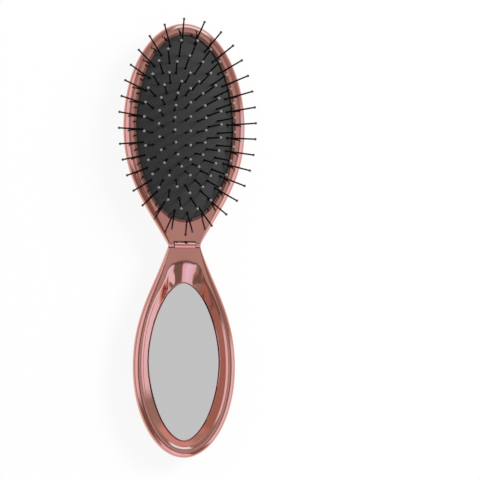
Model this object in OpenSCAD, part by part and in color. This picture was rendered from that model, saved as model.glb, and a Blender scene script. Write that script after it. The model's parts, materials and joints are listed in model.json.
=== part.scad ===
// Folding hairbrush with a mirror in its handle.
//
// The brush lies open on its two domed backs, bristles up: +Z is up, +Y runs from the handle to the
// tip of the head, and the origin is the middle of the flat on the back of the head.  The handle folds
// about the hinge, through half a turn, until its front lies on the front of the head.
//
// Each half is drawn in its own hinge frame: x across, y the distance from the hinge axis, z the
// height above the surface that the brush lies on.

/* [Head] */
// Hinge axis to the tip of the head
head_len = 102.4; // [98:0.2:108]
// Width of the head at its widest
head_w = 56.4; // [54:0.2:60]
// Hinge axis to the widest place of the head
head_peak = 54.4; // [50:0.2:58]
// How fast the head widens at the hinge, in mm a mm
head_flare = 0.57; // [0.5:0.01:0.62]

/* [Handle] */
// Hinge axis to the end of the handle
handle_len = 97.6; // [95:0.2:98]
// Width of the handle at its widest
handle_w = 47.4; // [45:0.2:49]
// Hinge axis to the widest place of the handle
handle_peak = 56; // [52:0.2:58]
// How fast the handle widens at the hinge, in mm a mm
handle_flare = 0.33; // [0.3:0.01:0.4]

/* [Shells] */
// Height of the front face above the surface that the brush lies on
depth = 14; // [13:0.2:17]
// Wall of both domed backs
wall = 1.6; // [1.2:0.1:2]
// Width of both necks where they meet at the hinge
neck_w = 14.6; // [14:0.1:16]
// Width of the rounded shoulder around each front piece
shoulder_w = 2.3; // [2:0.1:2.6]
// Drop of the rounded shoulder from the front face to the widest line
shoulder_drop = 2.2; // [1.8:0.1:2.8]
// Width of the ledge that each front piece sits on
ledge_w = 0.9; // [0.6:0.1:1]
// Thickness of both front pieces
plate_t = 1.6; // [1.2:0.1:2]
// Gap around each front piece
plate_gap = 0.12; // [0.05:0.01:0.2]

/* [Cushion] */
// Side of the head to the side of the cushion
cushion_side = 5.7; // [5.4:0.1:6.5]
// Hinge axis to the start of the cushion
cushion_start = 11.7; // [11:0.1:14]
// End of the cushion to the tip of the head
cushion_end = 5.3; // [5:0.1:6.5]
// Height of the cushion's crown above the front face
crown_h = 3.6; // [2.6:0.1:3.8]
// How far the cushion's edge lies below the front face
edge_sink = 1.2; // [1:0.1:1.4]
// Thickness of the rubber
rubber_t = 1.4; // [1:0.1:1.8]
// Width of the rubber flange that is held under the front plate
flange_w = 1; // [0.8:0.1:1.1]
// Thickness of the flange
flange_t = 1; // [0.8:0.1:1.4]
// Gap between the flange and the seat of the shell
flange_gap = 0.15; // [0.1:0.05:0.3]
// Thickness of the ring that clamps the flange
retainer_t = 1.2; // [1:0.1:2]

/* [Bristles] */
// Length of a bristle above the rubber
bristle_len = 14.6; // [12:0.2:16]
// Radius of a bristle
bristle_r = 0.34; // [0.25:0.01:0.4]
// Radius of the ball on a bristle
ball_r = 0.62; // [0.55:0.01:0.8]
// Side of the cushion to the outer oval of bristles
oval_side = 2.6; // [2.2:0.1:3.5]
// End of the cushion to the outer oval of bristles
oval_end = 3.1; // [2.6:0.1:4]
// Spacing of the ovals at their ends
row_pitch = 6.3; // [5.5:0.1:6.6]
// Bristles in each oval, inner to outer
ring_count = [6, 18, 24, 28, 32];
// Outward lean of the bristles at the sides of each oval, in degrees
side_lean = [0, 6, 15, 23, 54];
// Outward lean of the bristles at the ends of each oval, in degrees
end_lean = [7.5, 11, 18, 24, 40];
// Place of the first bristle of each oval, as a share of the spacing past the middle line
ring_start = [0, 0, 0, 0.5, 0.8];

/* [Mirror] */
// Side of the handle to the side of the glass
glass_side = 7.4; // [7.2:0.1:8.5]
// Hinge axis to the start of the glass
glass_start = 17.1; // [16.5:0.1:19]
// End of the glass to the end of the handle
glass_end = 7.9; // [7.6:0.1:9]
// Thickness of the mirror glass
mirror_t = 1.4; // [1:0.1:1.6]
// Thickness of the foam tape behind the glass
tape_t = 0.4; // [0.2:0.1:0.6]
// Depth of the glass below the front face
dish_depth = 4; // [3.9:0.1:4.3]
// Hinge axis to the start of the dish
dish_start = 7.8; // [7:0.1:9]
// Land between the shoulder and the dish
land_w = 1; // [1:0.1:1.5]
// Width of the rounded lip of the dish
lip_w = 1.3; // [1:0.1:1.5]
// Drop of the rounded lip of the dish
lip_drop = 1.2; // [0.8:0.1:1.3]
// Gap around the glass
mirror_gap = 0.3; // [0.2:0.05:0.4]
// Wall of the dish
dish_wall = 1; // [0.8:0.1:1.2]

/* [Hinge] */
// Radius of the hinge pin
pin_r = 0.5; // [0.4:0.05:0.6]
// Running clearance of the barrel on the pin
pin_play = 0.04; // [0.02:0.01:0.08]
// Radius of the barrel on the handle
barrel_r = 1.6; // [1.4:0.1:1.8]
// Length of the barrel
barrel_len = 9.6; // [9:0.1:10]
// Radius of the two knuckles on the head
knuckle_r = 1; // [0.9:0.1:1.2]
// Thickness of the spring washer at each end of the barrel
washer_t = 0.3; // [0.2:0.05:0.4]
// Side play between a washer and its neighbours
washer_play = 0.05; // [0.03:0.01:0.1]
// Gap around the turning barrel and knuckles
turn_gap = 0.3; // [0.25:0.05:0.4]
// Gap between the two halves, at the hinge and face to face when folded
fold_gap = 0.3; // [0.3:0.05:0.5]

/* [Hidden] */

rose = [0.85, 0.62, 0.60];
charcoal = [0.20, 0.20, 0.20];
nylon = [0.06, 0.06, 0.06];
ball_grey = [0.55, 0.50, 0.50];
steel = [0.75, 0.75, 0.78];
silver = [0.76, 0.77, 0.77];
resin = [0.35, 0.35, 0.36];

// Sizes of a half, in the order that the outline functions read them.
LEN = 0;
HALF = 1;
PEAK = 2;
NECK = 3;
FLARE = 4;
head_form = [head_len, head_w / 2, head_peak, neck_w / 2, head_flare];
handle_form = [handle_len, handle_w / 2, handle_peak, neck_w / 2, handle_flare];

silhouette_z = depth - shoulder_drop;   // height of the widest line of both halves
hinge_y = -head_peak;                   // the crown of the head's back is at the origin
axis_z = depth + fold_gap / 2;          // the two faces meet at the hinge axis when folded
butt = fold_gap / 2;                    // each half stops short of the axis
end_wall = 2;                           // solid end of each neck, behind the hinge
far = 200;                              // longer than anything that is cut

flank_lead = 0.35;      // share of the peak distance that the outline holds its flare for
belly = 0.56;           // share of the peak distance where the outline turns parallel
neck_run = 9;           // how far the dome would run on past the hinge
neck_round = 5;         // length over which that run-out rounds off
neck_fade = 0.2;        // share of an inset that is left at the hinge
flare_fade = 0.04;      // loss of flare for each mm of inset
crown_flat = 0.16;      // share of the outline that is flat on the crown
dome_power = 2.15;      // fullness of the dome; 2 is an ellipse
mirror_neck_power = 1.77;   // fullness of the mirror's outline towards the hinge
mirror_tip_power = 1.82;    // fullness of the mirror's outline towards the end
arch_half = 7.9;        // half width of the dish where its arched start runs into its flanks
arch_run = 3.6;         // distance from the start of the dish to there
arch_round = 0.65;      // fullness of the arch
arch_lead = 2.6;        // how far the arch already follows the line of the flanks
dish_rate = 0.5;        // how fast the flanks widen there, in mm a mm
dish_lead = 12;         // how far they hold that rate
dish_belly = 0.62;      // share of the peak distance where the dish turns parallel

cushion_w = head_w - 2 * cushion_side;
cushion_len = head_len - cushion_start - cushion_end;
cushion_mid = cushion_start + cushion_len / 2;
mirror_w = handle_w - 2 * glass_side;
mirror_len = handle_len - glass_start - glass_end;
mirror_mid = glass_start + mirror_len / 2;

// Half axes of the ovals of bristles, inner to outer; the innermost is a row on the middle line.
rings = len(ring_count);
oval_spread = 0.9;      // the inner ovals lie a little closer than evenly
ring_half_w = [for (k = [0 : rings - 1])
    (cushion_w / 2 - oval_side) * pow(k / (rings - 1), oval_spread)];
ring_half_len = [for (k = [0 : rings - 1]) cushion_len / 2 - oval_end - row_pitch * (rings - 1 - k)];

neck_steps = 4;
flank_steps = 12;
tip_steps = 12;
dome_steps = 8;
shoulder_steps = 3;
cushion_steps = 6;
side_steps = 24;        // steps on one side of the cushion, the mirror and the dish
arch_steps = 4;         // of those, steps on the arch of the dish
dish_steps = side_steps / 2 - arch_steps;
eps = 0.01;
top_eps = 1;            // how far a cutter runs past the face that it opens

// ---------- Curves ----------

// Point of the cubic curve with control points p, at t from 0 to 1.
function bezier(p, t) =
    pow(1 - t, 3) * p[0] + 3 * t * pow(1 - t, 2) * p[1] + 3 * t * t * (1 - t) * p[2] + t * t * t * p[3];

// A half whose outline is drawn in by d, and by less towards the hinge.
function inset(f, d) = [f[LEN] - d, f[HALF] - d, f[PEAK], f[NECK] - d * neck_fade, f[FLARE] - d * flare_fade];

// Run-out past the hinge, as [distance, half width].
function neck_curve(f) = [
    [-neck_run, 0],
    [-neck_run, f[NECK] * 0.4],
    [-neck_round, f[NECK] - neck_round * f[FLARE]],
    [0, f[NECK]]
];

// Flank from the hinge to the widest place.
function flank_curve(f) = [
    [0, f[NECK]],
    [f[PEAK] * flank_lead, f[NECK] + f[PEAK] * flank_lead * f[FLARE]],
    [f[PEAK] * belly, f[HALF]],
    [f[PEAK], f[HALF]]
];

// One side of a half, from the run-out to the tip, as [distance, half width].
function side(f) = concat(
    [for (i = [0 : neck_steps - 1]) bezier(neck_curve(f), i / neck_steps)],
    [for (i = [0 : flank_steps - 1]) bezier(flank_curve(f), i / flank_steps)],
    [for (i = [0 : tip_steps]) let (a = 90 * i / tip_steps)
        [f[PEAK] + (f[LEN] - f[PEAK]) * sin(a), f[HALF] * cos(a)]]
);

// Closed outline, as [x, y], from one side that starts and ends on the middle line.
function closed(s) = concat(
    [for (p = s) [p[1], p[0]]],
    [for (i = [len(s) - 2 : -1 : 1]) [-s[i][1], s[i][0]]]
);

function outline(f) = closed(side(f));

// Outline drawn in about the crown to share s, at height z.
function dome_ring(f, s, z) = [for (p = outline(f)) [s * p[0], f[PEAK] + s * (p[1] - f[PEAK]), z]];

// Outline with every point at height z.
function level(points, z) = [for (p = points) [p[0], p[1], z]];

// Rings of a dome that rises from its flat crown at z0 to its full outline at z1.
function dome_rings(f, z0, z1) = [
    for (i = [0 : dome_steps])
        let (a = 90 * i / dome_steps,
             u = pow(sin(a), 2 / dome_power),
             v = 1 - pow(max(cos(a), 0), 2 / dome_power))
        dome_ring(f, crown_flat + (1 - crown_flat) * u, z0 + (z1 - z0) * v)
];

// Rings of the rounded shoulder, from the widest line up to the front face.
function shoulder_rings(f) = [
    for (i = [1 : shoulder_steps])
        let (a = 90 * i / shoulder_steps)
        level(outline(inset(f, shoulder_w * (1 - cos(a)))), silhouette_z + shoulder_drop * sin(a))
];

// Oval with the given half axes, grown by g.
function oval(half_w, half_len, mid, g = 0) = [
    for (i = [0 : 2 * side_steps - 1])
        let (a = 180 * i / side_steps)
        [(half_w + g) * sin(a), mid - (half_len + g) * cos(a)]
];

// One side of the mirror's outline, grown by g.
function mirror_side(g) = [
    for (i = [0 : side_steps])
        let (a = 180 * i / side_steps,
             e = i < side_steps / 2 ? mirror_neck_power : mirror_tip_power)
        [mirror_mid - (mirror_len / 2 + g) * sign(cos(a)) * pow(abs(cos(a)), 2 / e),
         (mirror_w / 2 + g) * pow(abs(sin(a)), 2 / e)]
];

function mirror_outline(g) = closed(mirror_side(g));

// One side of the dish's edge, drawn in by d from the land: its arch, its flank and its end.
function dish_side(d) =
    let (half = handle_w / 2 - shoulder_w - land_w - d,
         start = dish_start + d,
         end = handle_len - shoulder_w - land_w / 2 - d,
         knee = [start + arch_run, arch_half - d * (norm([1, dish_rate]) - dish_rate)],
         way = [1, dish_rate],
         arch = [[start, 0], [start, knee[1] * arch_round], knee - arch_lead * way, knee],
         flank = [knee, knee + dish_lead * way, [handle_peak * dish_belly, half], [handle_peak, half]])
    concat(
        [for (i = [0 : arch_steps - 1]) bezier(arch, i / arch_steps)],
        [for (i = [0 : dish_steps - 1]) bezier(flank, i / dish_steps)],
        [for (i = [0 : side_steps / 2]) let (a = 180 * i / side_steps)
            [handle_peak + (end - handle_peak) * sin(a), half * cos(a)]]
    );

function dish_outline(d) = closed(dish_side(d));

// ---------- Solids ----------

// Closed solid through rings that have the same number of points, lowest ring first.
module loft(rings) {
    n = len(rings[0]);
    top = len(rings) - 1;
    polyhedron(
        points = [for (r = rings) each r],
        faces = concat(
            [[for (j = [0 : n - 1]) j]],
            [for (i = [0 : top - 1], j = [0 : n - 1]) let (k = (j + 1) % n)
                [i * n + j, (i + 1) * n + j, (i + 1) * n + k]],
            [for (i = [0 : top - 1], j = [0 : n - 1]) let (k = (j + 1) % n)
                [i * n + j, (i + 1) * n + k, i * n + k]],
            [[for (j = [n - 1 : -1 : 0]) top * n + j]]
        )
    );
}

// Prism on an outline, between two heights.
module prism(points, z0, z1) {
    translate([0, 0, z0]) linear_extrude(z1 - z0) polygon(points);
}

// Round bar about the hinge axis, centred across the hinge.
module hinge_bar(r, length) {
    translate([0, 0, axis_z]) rotate([0, 90, 0]) cylinder(r = r, h = length, center = true, $fn = 48);
}

// Everything on the far side of the hinge, up to distance d.
module beyond(d) {
    translate([-far / 2, d - far, -far / 2]) cube([far, far, far]);
}

module in_head() { translate([0, hinge_y, 0]) children(); }
module in_handle() { translate([0, hinge_y, 0]) mirror([0, 1, 0]) children(); }

// ---------- Shells ----------

knuckle_inset = 0.1;                                            // knuckles end inside the neck's sides
barrel_slot = barrel_len + 2 * (washer_t + 2 * washer_play);   // space between the knuckles
knuckle_span = neck_w - 2 * knuckle_inset;                      // over both knuckles

// Clearance in the head for the barrel of the handle.
module barrel_relief() { hinge_bar(barrel_r + turn_gap, barrel_slot); }

// Seat in the head's shell for the knuckles of its front plate.
module knuckle_seat() { hinge_bar(knuckle_r + plate_gap, knuckle_span + 2 * plate_gap); }

// Clearance in the handle for the knuckles of the head.
module knuckle_relief() { hinge_bar(knuckle_r + turn_gap, far); }

// Domed back of a half, open at the front, with a seat for the front piece; children are cut away.
module back_shell(f) {
    seat = shoulder_w - plate_gap;
    difference() {
        loft(concat(dome_rings(f, 0, silhouette_z), shoulder_rings(f)));
        difference() {
            loft(concat(
                dome_rings(inset(f, shoulder_w + ledge_w), wall, silhouette_z),
                [level(outline(inset(f, shoulder_w + ledge_w)), depth + top_eps)]
            ));
            beyond(end_wall);
        }
        prism(outline(inset(f, seat)), depth - plate_t, depth + top_eps);
        beyond(butt);
        children();
    }
}

module head_back_shell() {
    color(rose) in_head() back_shell(head_form) {
        barrel_relief();
        knuckle_seat();
    }
}

module handle_back_shell() {
    color(rose) in_handle() back_shell(handle_form) knuckle_relief();
}

// ---------- Head ----------

module head_front_plate() {
    color(rose) in_head() difference() {
        union() {
            difference() {
                prism(outline(inset(head_form, shoulder_w)), depth - plate_t, depth);
                beyond(butt);
            }
            hinge_bar(knuckle_r, knuckle_span);
        }
        barrel_relief();
        hinge_bar(pin_r, far);
        prism(oval(cushion_w / 2, cushion_len / 2, cushion_mid), depth - plate_t - top_eps, depth + top_eps);
    }
}

rim_z = depth - edge_sink;                 // height of the cushion's edge
flange_top = depth - plate_t;              // the flange presses against the plate from below
flange_bottom = flange_top - flange_t;
dome_h = crown_h + edge_sink;              // rise of the cushion from its edge to its crown
collar_gap = 0.15;                         // gap between the cushion's collar and the plate

// Height of the rubber's surface at a point of the cushion, as [x, distance from its middle].
function rubber_z(x, y) =
    rim_z + dome_h * (1 - pow(2 * x / cushion_w, 2) - pow(2 * y / cushion_len, 2));

// Rings of the rubber dome, from its edge to its crown, lowered by drop.
function rubber_rings(g, drop) = [
    for (i = [0 : cushion_steps - 1])
        let (s = cos(90 * i / cushion_steps))
        level([for (p = oval(cushion_w / 2, cushion_len / 2, 0, g)) [s * p[0], cushion_mid + s * p[1]]],
              rim_z - drop + dome_h * (1 - s * s))
];

// Outline of the flange, trimmed to the seat of the shell, between two heights.
module flange_prism(z0, z1) {
    translate([0, 0, z0]) linear_extrude(z1 - z0) intersection() {
        polygon(oval(cushion_w / 2, cushion_len / 2, cushion_mid, flange_w));
        polygon(outline(inset(head_form, shoulder_w + ledge_w + flange_gap)));
    }
}

module cushion() {
    collar = oval(cushion_w / 2, cushion_len / 2, cushion_mid, -collar_gap);
    inner = oval(cushion_w / 2, cushion_len / 2, cushion_mid, -rubber_t);
    color(charcoal) in_head() difference() {
        union() {
            flange_prism(flange_bottom, flange_top);
            loft(concat([level(collar, flange_bottom + eps)], rubber_rings(-collar_gap, 0)));
        }
        loft(concat([level(inner, flange_bottom - top_eps)], rubber_rings(-rubber_t, rubber_t)));
    }
}

module cushion_retainer() {
    color(resin) in_head() difference() {
        flange_prism(flange_bottom - retainer_t, flange_bottom);
        prism(oval(cushion_w / 2, cushion_len / 2, cushion_mid, -rubber_t),
              flange_bottom - retainer_t - top_eps, flange_bottom + top_eps);
    }
}

// ---------- Bristles ----------

arc_steps = 90;     // steps in which an oval's length is summed
root_depth = 2.2;   // how far a bristle reaches down through the rubber
root_r = 0.7;       // radius of the head that anchors a bristle under the rubber
root_t = 0.5;       // thickness of that head

// Table of [length along the oval, angle], from the end that points to the tip of the head.
function arc_table(a, b) = [
    for (i = 0, s = 0; i <= arc_steps;
         s = s + 360 / arc_steps * PI / 180 * norm([a * cos(360 * (i + 0.5) / arc_steps),
                                                    b * sin(360 * (i + 0.5) / arc_steps)]), i = i + 1)
        [s, 360 * i / arc_steps]
];

// Foot of bristle i in ring k, as [x, distance from the middle of the cushion].
function foot(k, i) =
    let (a = ring_half_w[k], b = ring_half_len[k], n = ring_count[k],
         table = arc_table(a, b),
         share = (i + ring_start[k]) / n,
         angle = lookup(share * table[arc_steps][0], table))
    a == 0 ? [0, b * (1 - 2 * i / (n - 1))] : [a * sin(angle), b * cos(angle)];

// Way that a bristle points: outwards, by its share of the lean at the side and at the end of its oval.
function lean_way(k, p) =
    let (a = ring_half_w[k], b = ring_half_len[k],
         lean = [a == 0 ? 0 : side_lean[k] * p[0] / a, end_lean[k] * p[1] / b],
         angle = norm(lean))
    [lean[0] / angle * sin(angle), lean[1] / angle * sin(angle), cos(angle)];

// Places its children on the foot of each bristle of ring k, with +Z along the bristle.
module each_bristle(k) {
    for (i = [0 : ring_count[k] - 1]) {
        p = foot(k, i);
        v = lean_way(k, p);
        translate([p[0], cushion_mid + p[1], rubber_z(p[0], p[1])])
            rotate([0, acos(v[2]), atan2(v[1], v[0])]) children();
    }
}

module bristle_ring(k) {
    color(nylon) in_head() each_bristle(k) {
        translate([0, 0, -root_depth]) cylinder(r = bristle_r, h = root_depth + bristle_len, $fn = 24);
        translate([0, 0, -root_depth - root_t]) cylinder(r = root_r, h = root_t, $fn = 24);
    }
}

module bristle_tips(k) {
    color(ball_grey) in_head() each_bristle(k) difference() {
        translate([0, 0, bristle_len]) sphere(r = ball_r, $fn = 32);
        cylinder(r = bristle_r, h = bristle_len, $fn = 24);
    }
}

// ---------- Hinge ----------

module hinge_pin() {
    color(steel) in_head() hinge_bar(pin_r, knuckle_span);
}

module hinge_washers() {
    color(steel) in_head() for (s = [-1, 1])
        translate([s * (barrel_len + washer_t + 2 * washer_play) / 2, 0, 0]) difference() {
            hinge_bar(knuckle_r - washer_play, washer_t);
            hinge_bar(pin_r + pin_play, far);
        }
}

// ---------- Handle ----------

glass_z = depth - dish_depth;               // height of the front of the glass
pocket_z = glass_z - mirror_t - tape_t;     // floor of the pocket behind the glass
tray_out = 1.5;                             // how far the outside of the dish stands off its inside
tape_margin = 2;                            // how far the tape stays inside the glass

module handle_front_frame() {
    glass = mirror_outline(mirror_gap);
    color(rose) in_handle() difference() {
        union() {
            difference() {
                union() {
                    prism(outline(inset(handle_form, shoulder_w)), depth - plate_t, depth);
                    intersection() {
                        loft([
                            level(mirror_outline(mirror_gap + dish_wall), pocket_z - dish_wall),
                            level(mirror_outline(mirror_gap + tray_out), glass_z - dish_wall),
                            level(dish_outline(lip_w - dish_wall), depth - plate_t + eps)
                        ]);
                        prism(outline(inset(handle_form, shoulder_w + ledge_w + plate_gap)), 0, depth);
                    }
                }
                beyond(butt);
                knuckle_relief();
            }
            hinge_bar(barrel_r, barrel_len);
        }
        hinge_bar(pin_r + pin_play, far);
        loft([
            level(glass, pocket_z),
            level(glass, glass_z),
            level(dish_outline(lip_w), depth - lip_drop),
            level(dish_outline(0), depth),
            level(dish_outline(0), depth + top_eps)
        ]);
    }
}

module mirror_glass() {
    color(silver) in_handle() prism(mirror_outline(0), glass_z - mirror_t, glass_z);
}

module mirror_tape() {
    color(resin) in_handle() prism(mirror_outline(-tape_margin), pocket_z, pocket_z + tape_t);
}

head_back_shell();
head_front_plate();
cushion();
cushion_retainer();
bristle_ring(0);  // bristle_ring_1
bristle_ring(1);  // bristle_ring_2
bristle_ring(2);  // bristle_ring_3
bristle_ring(3);  // bristle_ring_4
bristle_ring(4);  // bristle_ring_5
bristle_tips(0);  // bristle_tips_1
bristle_tips(1);  // bristle_tips_2
bristle_tips(2);  // bristle_tips_3
bristle_tips(3);  // bristle_tips_4
bristle_tips(4);  // bristle_tips_5
hinge_pin();
hinge_washers();
handle_back_shell();
handle_front_frame();
mirror_glass();  // mirror
mirror_tape();
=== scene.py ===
"""Dresses a folding hairbrush with a mirror in its handle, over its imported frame.

The two halves, their front pieces, the cushion, the mirror and each bristle are rebuilt as fine
meshes from the same sizes as the solids that they stand for, and every piece gets its finish.
Lengths are in millimetres up to the moment that a mesh is made, which is in metres.
"""

import bisect
import json
import logging
import math
from collections.abc import Iterable, Sequence
from dataclasses import dataclass, field
from enum import Enum

import bmesh
import bpy
from mathutils import Matrix, Vector


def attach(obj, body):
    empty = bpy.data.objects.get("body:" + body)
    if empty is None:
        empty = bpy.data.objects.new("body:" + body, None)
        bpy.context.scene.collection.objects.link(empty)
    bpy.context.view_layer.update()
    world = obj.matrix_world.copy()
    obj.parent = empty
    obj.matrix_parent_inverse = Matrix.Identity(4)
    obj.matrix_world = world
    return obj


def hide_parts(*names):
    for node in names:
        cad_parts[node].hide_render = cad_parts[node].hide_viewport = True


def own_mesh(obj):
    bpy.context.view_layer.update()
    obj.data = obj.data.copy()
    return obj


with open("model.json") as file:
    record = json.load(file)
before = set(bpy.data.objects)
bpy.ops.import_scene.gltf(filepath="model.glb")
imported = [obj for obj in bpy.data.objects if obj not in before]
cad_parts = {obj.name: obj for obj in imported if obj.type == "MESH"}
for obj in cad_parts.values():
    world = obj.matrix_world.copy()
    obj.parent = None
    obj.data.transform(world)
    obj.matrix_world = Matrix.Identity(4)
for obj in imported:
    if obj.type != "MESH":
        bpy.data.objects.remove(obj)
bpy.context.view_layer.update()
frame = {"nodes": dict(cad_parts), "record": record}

log = logging.getLogger("hairbrush")

Point = tuple[float, float, float]
Flat = tuple[float, float]
Colour = tuple[float, float, float, float]

MM = 0.001
WHITE = (1.0, 1.0, 1.0, 1.0)
MIX_A, MIX_B, MIX_OUT = 6, 7, 2  # sockets of a mix node that carry colours
NOISE_RANGE = (0.3, 0.7)  # between these lies most of a noise
HEM = 0.03  # strip of the flat beside a rounded edge, which keeps the flat's shading flat


# ---------- Small helpers ----------


def srgb(code: str) -> Colour:
    """Turns an sRGB hex value into a linear colour.

    Args:
        code: six hex digits, such as "DA9B8E".

    Returns:
        The linear red, green and blue, and an alpha of 1.
    """
    parts = [int(code[i : i + 2], 16) / 255 for i in (0, 2, 4)]
    linear = [c / 12.92 if c <= 0.04045 else ((c + 0.055) / 1.055) ** 2.4 for c in parts]
    return (linear[0], linear[1], linear[2], 1.0)


def per_mm(size: float) -> float:
    """Texture scale, in repeats a metre, of a pattern whose real size is given in millimetres."""
    return 1 / (size * MM)


def add_node(
    tree: bpy.types.NodeTree,
    kind: str,
    settings: dict[str, object] | None = None,
    inputs: dict[str | int, object] | None = None,
) -> bpy.types.Node:
    """Adds a node with its settings and links.

    Args:
        tree: the node tree that takes the node.
        kind: Blender's name for the type of node.
        settings: values of the node's own properties.
        inputs: for each input, a value, or the output that is linked to it; a node stands for its first.

    Returns:
        The new node.
    """
    node = tree.nodes.new(kind)
    for name, value in (settings or {}).items():
        setattr(node, name, value)
    for key, value in (inputs or {}).items():
        if isinstance(value, bpy.types.Node):
            value = value.outputs[0]
        if isinstance(value, bpy.types.NodeSocket):
            tree.links.new(value, node.inputs[key])
        else:
            node.inputs[key].default_value = value
    return node


def set_ramp(node: bpy.types.Node, stops: Sequence[tuple[float, Colour]]) -> None:
    """Sets the stops of a colour ramp.

    Args:
        node: the ramp.
        stops: place and colour of each stop, in order.
    """
    elements = node.color_ramp.elements
    while len(elements) < len(stops):
        elements.new(1.0)
    for element, (place, colour) in zip(elements, stops):
        element.position = place
        element.color = colour


def bezier(points: Sequence[Flat], steps: int) -> list[Flat]:
    """Points of a cubic curve, from its start to one step before its end.

    Args:
        points: the four control points.
        steps: how many equal steps the curve has.

    Returns:
        The points.
    """
    curve = []
    for i in range(steps):
        t = i / steps
        weights = ((1 - t) ** 3, 3 * t * (1 - t) ** 2, 3 * t * t * (1 - t), t**3)
        x, y = (sum(w * p[axis] for w, p in zip(weights, points)) for axis in (0, 1))
        curve.append((x, y))
    return curve


def sweep(turn: float, steps: int) -> list[float]:
    """Angles from 0 to a turn, in equal steps."""
    return [turn * i / steps for i in range(steps + 1)]


def closed(side: Sequence[Flat]) -> list[Flat]:
    """Whole outline from one side of it.

    Args:
        side: points as distance and half width, which start and end on the middle line.

    Returns:
        The closed outline as x and distance.
    """
    return [(half, along) for along, half in side] + [(-half, along) for along, half in side[-2:0:-1]]


def eased(t: float) -> float:
    """Share that rises smoothly from 0 to 1 as t does."""
    t = min(max(t, 0.0), 1.0)
    return t * t * (3 - 2 * t)


def through(value: float, span: Flat) -> float:
    """How far a value is through a span, as an eased share."""
    return eased((value - span[0]) / (span[1] - span[0]))


def level(outline: Iterable[Flat], z: float) -> list[Point]:
    """Outline with every point at height z."""
    return [(x, y, z) for x, y in outline]


def met(outline: Sequence[Flat], start: Flat, way: Flat) -> tuple[Flat, float]:
    """Where a ray from inside an outline meets it.

    Args:
        outline: a closed outline, which the ray crosses once.
        start: where the ray starts.
        way: direction of the ray, as a unit vector.

    Returns:
        The place, and how square the ray is to the outline there, from 0 to 1.
    """
    reaches = []
    for (x0, y0), (x1, y1) in zip(outline, [*outline[1:], outline[0]]):
        ex, ey = x1 - x0, y1 - y0
        cross = way[0] * ey - way[1] * ex
        if not cross:
            continue
        dx, dy = x0 - start[0], y0 - start[1]
        reach, share = (dx * ey - dy * ex) / cross, (dx * way[1] - dy * way[0]) / cross
        if reach > 0 and 0 <= share <= 1:
            reaches.append((reach, abs(cross) / math.hypot(ex, ey)))
    reach, square = min(reaches)
    return (start[0] + way[0] * reach, start[1] + way[1] * reach), square


def outward(outline: Sequence[Flat], middle: float) -> list[Flat]:
    """Directions square to an outline at each of its points.

    Args:
        outline: a closed outline.
        middle: distance of the point on the middle line that the directions lead away from.

    Returns:
        The directions, as unit vectors.
    """
    ways = []
    for i, (x, y) in enumerate(outline):
        (x0, y0), (x1, y1) = outline[i - 1], outline[(i + 1) % len(outline)]
        nx, ny = y1 - y0, x0 - x1
        size = math.copysign(math.hypot(nx, ny), nx * x + ny * (y - middle))
        ways.append((nx / size, ny / size))
    return ways


def matched(outline: Sequence[Flat], inner: Sequence[Flat], ways: Sequence[Flat]) -> list[Flat]:
    """Points where rays from each point of an inner outline meet an outline."""
    return [met(outline, p, way)[0] for p, way in zip(inner, ways)]


# ---------- The frame's fixed places ----------


class Half(Enum):
    """The two halves, and the way that each runs from the hinge."""

    HEAD = 1
    HANDLE = -1


@dataclass(frozen=True)
class Hinge:
    """Hinge axis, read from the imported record, with the sizes of its turned parts."""

    y: float
    z: float
    pin_r: float = 0.5
    pin_play: float = 0.04
    barrel_r: float = 1.6
    barrel_len: float = 9.6
    knuckle_r: float = 1.0
    washer_t: float = 0.3
    washer_play: float = 0.05
    turn_gap: float = 0.3
    knuckle_inset: float = 0.1
    cut_len: float = 29.2  # length of a cutter that passes right through the neck

    @classmethod
    def from_record(cls, record: dict) -> "Hinge":
        """Hinge at the place that the record gives its joint."""
        place = record["behaviour"]["joints"][0]["pos_m"]
        return cls(y=place[1] / MM, z=place[2] / MM)

    @property
    def barrel_slot(self) -> float:
        """Space between the two knuckles."""
        return self.barrel_len + 2 * (self.washer_t + 2 * self.washer_play)

    def place(self, half: Half, p: Point) -> Vector:
        """Point of a half's own frame, as a place in metres."""
        return Vector((p[0], self.y + half.value * p[1], p[2])) * MM


# ---------- Meshes ----------


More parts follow.
